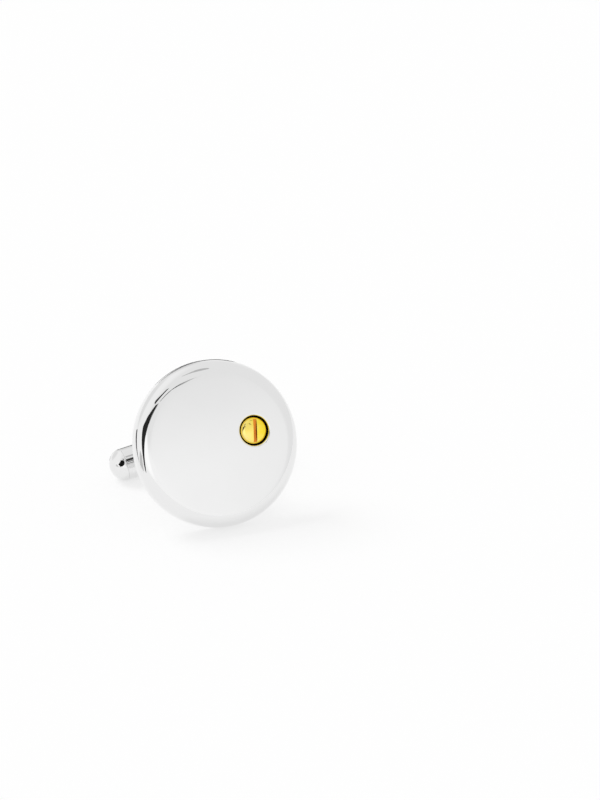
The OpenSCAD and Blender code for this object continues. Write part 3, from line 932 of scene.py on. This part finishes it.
class CUFFLINK_OT_stage(bpy.types.Operator):
    """White floor, soft light, paper that only the metal sees, and the camera"""

    bl_idname = "cufflink.stage"
    bl_label = "Studio"

    def execute(self, context):
        self.floor(list(context.scene.cufflink_finishes.floor))
        self.world(context.scene)
        for name, card in CARDS.items():
            self.card(name, DISC_BACK, *card)
        self.card("flag_by_the_cap", CAP_SPOT, *BY_THE_CAP, facing=CAP_SIDE)
        self.lamp("soft_box_left", towards(*LAMP_SIDE))
        self.camera(context.scene)
        context.scene.view_settings.view_transform = "Standard"
        return {"FINISHED"}

    def seen(self, tree):
        """Is 1 for rays of the camera and of the metal, and 0 for those that light the floor."""
        path = add(tree, "ShaderNodeLightPath")
        rays = add(tree, "ShaderNodeMath", operation="MAXIMUM",
                   links={0: path.outputs["Is Camera Ray"], 1: path.outputs["Is Glossy Ray"]})
        rays = add(tree, "ShaderNodeMath", operation="MAXIMUM",
                   links={0: rays.outputs["Value"], 1: path.outputs["Is Transmission Ray"]})
        # Light that the metal throws back on the floor is as weak as the light round about
        return add(tree, "ShaderNodeMath", operation="SUBTRACT", use_clamp=True,
                   links={0: rays.outputs["Value"], 1: path.outputs["Diffuse Depth"]})

    def floor(self, colour):
        """Seamless white paper, whose own glow keeps it white behind the shadow."""
        deselect()
        bpy.ops.mesh.primitive_circle_add(
            vertices=FLOOR_SIDES, radius=FLOOR_RADIUS, fill_type="NGON")
        floor = named("floor")
        paper = blank("white paper, matt")
        glow = add(paper, "ShaderNodeMath", {1: GLOW}, {0: self.seen(paper).outputs["Value"]},
                   operation="MULTIPLY")
        light = add(paper, "ShaderNodeEmission", {"Color": (1, 1, 1, 1)},
                    {"Strength": glow.outputs["Value"]})
        matt = add(paper, "ShaderNodeBsdfDiffuse", {"Color": (*colour, 1)})
        both = add(paper, "ShaderNodeAddShader", links={0: light.outputs[0], 1: matt.outputs[0]})
        add(paper, "ShaderNodeOutputMaterial", links={"Surface": both.outputs[0]})
        floor.data.materials.append(paper)

    def world(self, scene):
        """White for the camera, a bright and uneven room for the metal, soft for the floor."""
        world = bpy.data.worlds.new("white studio")
        scene.world = world
        world.use_nodes = True
        world.node_tree.nodes.clear()
        way = add(world, "ShaderNodeTexCoord").outputs["Generated"]
        height = add(world, "ShaderNodeSeparateXYZ", links={"Vector": way}).outputs["Z"]
        room = add(world, "ShaderNodeMapRange",
                   {"From Min": SWEEP_START, "From Max": SWEEP_END, "To Min": LOW, "To Max": HIGH},
                   {"Value": height}, interpolation_type="SMOOTHSTEP").outputs["Result"]
        for azimuth, elevation, begin, full, brightness in PATCHES:
            nearness = add(world, "ShaderNodeVectorMath", {1: towards(azimuth, elevation)},
                           {0: way}, operation="DOT_PRODUCT")
            patch = add(world, "ShaderNodeMapRange",
                        {"From Min": cos(radians(begin)), "From Max": cos(radians(full))},
                        {"Value": nearness.outputs["Value"]}, interpolation_type="SMOOTHSTEP")
            room = add(world, "ShaderNodeMix", {"B": brightness},
                       {"Factor": patch.outputs["Result"], "A": room}).outputs["Result"]
        path = add(world, "ShaderNodeLightPath")
        inside = add(world, "ShaderNodeMix", {"A": 1.0},
                     {"Factor": path.outputs["Is Glossy Ray"], "B": room})
        seen = self.seen(world).outputs["Value"]
        strength = add(world, "ShaderNodeMix", {"A": ROUND_ABOUT},
                       {"Factor": seen, "B": inside.outputs["Result"]})
        sky = add(world, "ShaderNodeBackground", {"Color": (1, 1, 1, 1)},
                  {"Strength": strength.outputs["Result"]})
        add(world, "ShaderNodeOutputWorld", links={"Surface": sky.outputs[0]})

    def card(self, name, middle, brightness, distance, rows, facing=None):
        """A sheet bent round a middle, or flat if it faces a way, that only the metal sees."""
        deselect()
        bpy.ops.mesh.primitive_grid_add(
            x_subdivisions=CARD_COLUMNS, y_subdivisions=len(rows) - 1, size=MM)
        card = named(name)
        for i, vertex in enumerate(card.data.vertices):
            row, column = divmod(i, CARD_COLUMNS + 1)
            elevation, left, right = rows[row]
            way = towards(left + (right - left) * column / CARD_COLUMNS, elevation)
            reach = distance * MM
            if facing:
                reach /= way.dot(towards(*facing))
            # Below the disc a sheet lies on the floor, where the way meets it
            if way.z < 0:
                reach = min(reach, (middle.z - ABOVE_FLOOR) / -way.z)
            vertex.co = middle + reach * way
        paper = blank(name.replace("_", " "))
        light = add(paper, "ShaderNodeEmission",
                    {"Color": (1, 1, 1, 1), "Strength": brightness})
        add(paper, "ShaderNodeOutputMaterial", links={"Surface": light.outputs[0]})
        card.data.materials.append(paper)
        for rays in ("camera", "diffuse", "shadow", "transmission"):
            setattr(card, "visible_" + rays, False)

    def lamp(self, name, place):
        """A wide soft light that reaches the floor from the left and from behind."""
        deselect()
        bpy.ops.object.light_add(type="SUN", location=place * LAMP_DISTANCE)
        lamp = bpy.context.object
        lamp.name = lamp.data.name = name
        lamp.data.energy = LAMP_STRENGTH
        lamp.data.angle = radians(LAMP_SPREAD)
        lamp.rotation_euler = place.to_track_quat("Z", "Y").to_euler()
        lamp.visible_glossy = False

    def camera(self, scene):
        """The photograph's camera, level and square to its picture."""
        deselect()
        bpy.ops.object.camera_add(location=AIM + BACK * DISTANCE)
        camera = bpy.context.object
        camera.name = camera.data.name = "photo_camera"
        camera.rotation_euler = BACK.to_track_quat("Z", "Y").to_euler()
        camera.data.lens = LENS
        camera.data.sensor_width = SENSOR
        camera.data.clip_start = CLIP_START
        camera.data.clip_end = CLIP_END
        scene.camera = camera


class CUFFLINK_PT_build(bpy.types.Panel):
    """Lists the steps in the order they are run"""

    bl_idname = "CUFFLINK_PT_build"
    bl_label = "Cufflink"
    bl_space_type = "VIEW_3D"
    bl_region_type = "UI"
    bl_category = "Cufflink"

    def draw(self, context):
        layout = self.layout
        for group in (context.scene.cufflink_sizes, context.scene.cufflink_finishes):
            column = layout.column(align=True)
            for name in group.__annotations__:
                column.prop(group, name)
        column = layout.column(align=True)
        for step in STEPS:
            column.operator(step.bl_idname)


STEPS = (
    CUFFLINK_OT_disc,
    CUFFLINK_OT_screw,
    CUFFLINK_OT_fork,
    CUFFLINK_OT_pin,
    CUFFLINK_OT_toggle,
    CUFFLINK_OT_springs,
    CUFFLINK_OT_stage,
)
CLASSES = (CufflinkSizes, CufflinkFinishes, *STEPS, CUFFLINK_PT_build)


def register():
    """Makes the classes and the scene's settings known."""
    for cls in CLASSES:
        bpy.utils.register_class(cls)
    bpy.types.Scene.cufflink_sizes = PointerProperty(type=CufflinkSizes)
    bpy.types.Scene.cufflink_finishes = PointerProperty(type=CufflinkFinishes)


def unregister():
    """Takes them out again."""
    del bpy.types.Scene.cufflink_finishes
    del bpy.types.Scene.cufflink_sizes
    for cls in reversed(CLASSES):
        bpy.utils.unregister_class(cls)


def main():
    """Builds every piece in turn."""
    register()
    bpy.ops.cufflink.disc()
    bpy.ops.cufflink.screw()
    bpy.ops.cufflink.fork()
    bpy.ops.cufflink.pin()
    bpy.ops.cufflink.toggle()
    bpy.ops.cufflink.springs()
    bpy.ops.cufflink.stage()
    deselect()


if __name__ == "__main__":
    main()
